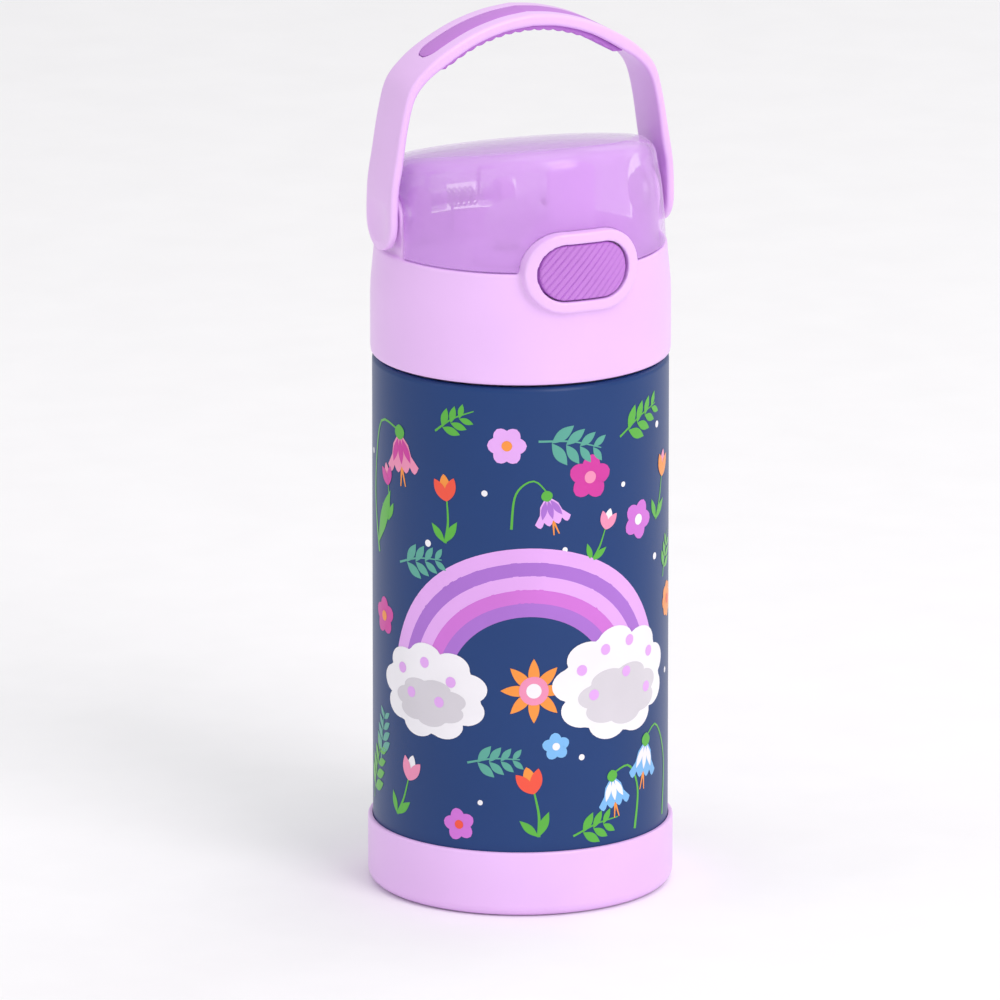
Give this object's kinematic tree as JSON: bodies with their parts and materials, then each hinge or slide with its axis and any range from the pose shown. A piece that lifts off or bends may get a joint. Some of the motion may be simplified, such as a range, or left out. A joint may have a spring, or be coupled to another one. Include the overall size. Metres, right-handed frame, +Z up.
{
  "type": "kids water bottle",
  "caption": "Insulated steel straw bottle with a screw-on lid, push-button flip cover, folding mouthpiece and swinging carry handle.",
  "frame": {"origin": "centre of the flat base, on the surface that the bottle stands on", "axes": "+Z up along the bottle's axis, -Y towards the push button, X along the handle's pivots"},
  "size_m": [0.0692, 0.0696, 0.1993],
  "materials": {
    "printed_shell": "satin navy paint with a printed pattern",
    "steel": "brushed stainless steel",
    "spring_steel": "drawn wire",
    "lilac_plastic": "satin moulded plastic",
    "cover_plastic": "translucent gloss plastic",
    "purple_grip": "soft matte plastic",
    "silicone": "translucent silicone",
    "clear_straw": "clear moulded plastic"
  },
  "bodies": {
    "bottle": {"outer_shell": "printed_shell", "base_plate": "steel", "inner_liner": "steel", "vacuum_getter": "steel", "base_boot": "lilac_plastic"},
    "lid_seal": {"lid_gasket": "silicone"},
    "lid": {"lid_collar": "lilac_plastic", "lid_insert": "lilac_plastic", "vent_valve": "silicone", "spout_base": "silicone", "straw": "clear_straw", "cover_hinge_pin": "steel", "cover_spring": "spring_steel", "button_retainer": "lilac_plastic", "button_spring": "spring_steel", "handle_pivot_left": "lilac_plastic", "handle_pivot_right": "lilac_plastic"},
    "cover": {"flip_cover": "cover_plastic"},
    "spout": {"spout_tip": "silicone"},
    "button": {"push_button": "purple_grip", "button_latch": "lilac_plastic"},
    "carry_handle": {"handle": "lilac_plastic", "handle_grip": "purple_grip"}
  },
  "joints": [
    {"name": "lid_rise", "type": "slide", "parent": "bottle", "child": "lid_seal", "axis": [0, 0, 1], "range_m": [0, 0.0069]},
    {"name": "lid_turn", "type": "hinge", "parent": "lid_seal", "child": "lid", "pos_m": [0, 0, 0.13], "axis": [0, 0, 1], "range_deg": [0, 540]},
    {"name": "cover_open", "type": "hinge", "parent": "lid", "child": "cover", "pos_m": [0, 0.0315, 0.1495], "axis": [-1, 0, 0], "range_deg": [0, 53]},
    {"name": "handle_swing", "type": "hinge", "parent": "lid", "child": "carry_handle", "pos_m": [0, 0, 0.1549], "axis": [-1, 0, 0], "range_deg": [0, 112]},
    {"name": "spout_flip", "type": "hinge", "parent": "lid", "child": "spout", "pos_m": [0, 0.007, 0.149], "axis": [-1, 0, 0], "range_deg": [0, 59]},
    {"name": "button_press", "type": "slide", "parent": "lid", "child": "button", "axis": [0, 1, 0], "range_m": [0, 0.002], "stiffness_N_per_m": 600, "deforming": ["button_spring"]}
  ],
  "couplings": [
    {"joint": "lid_rise", "follows": "lid_turn", "m_per_rad": 0.0007162},
    {"joint": "handle_swing", "follows": "cover_open", "ratio": 2.1},
    {"joint": "spout_flip", "follows": "cover_open", "ratio": 1.1}
  ]
}
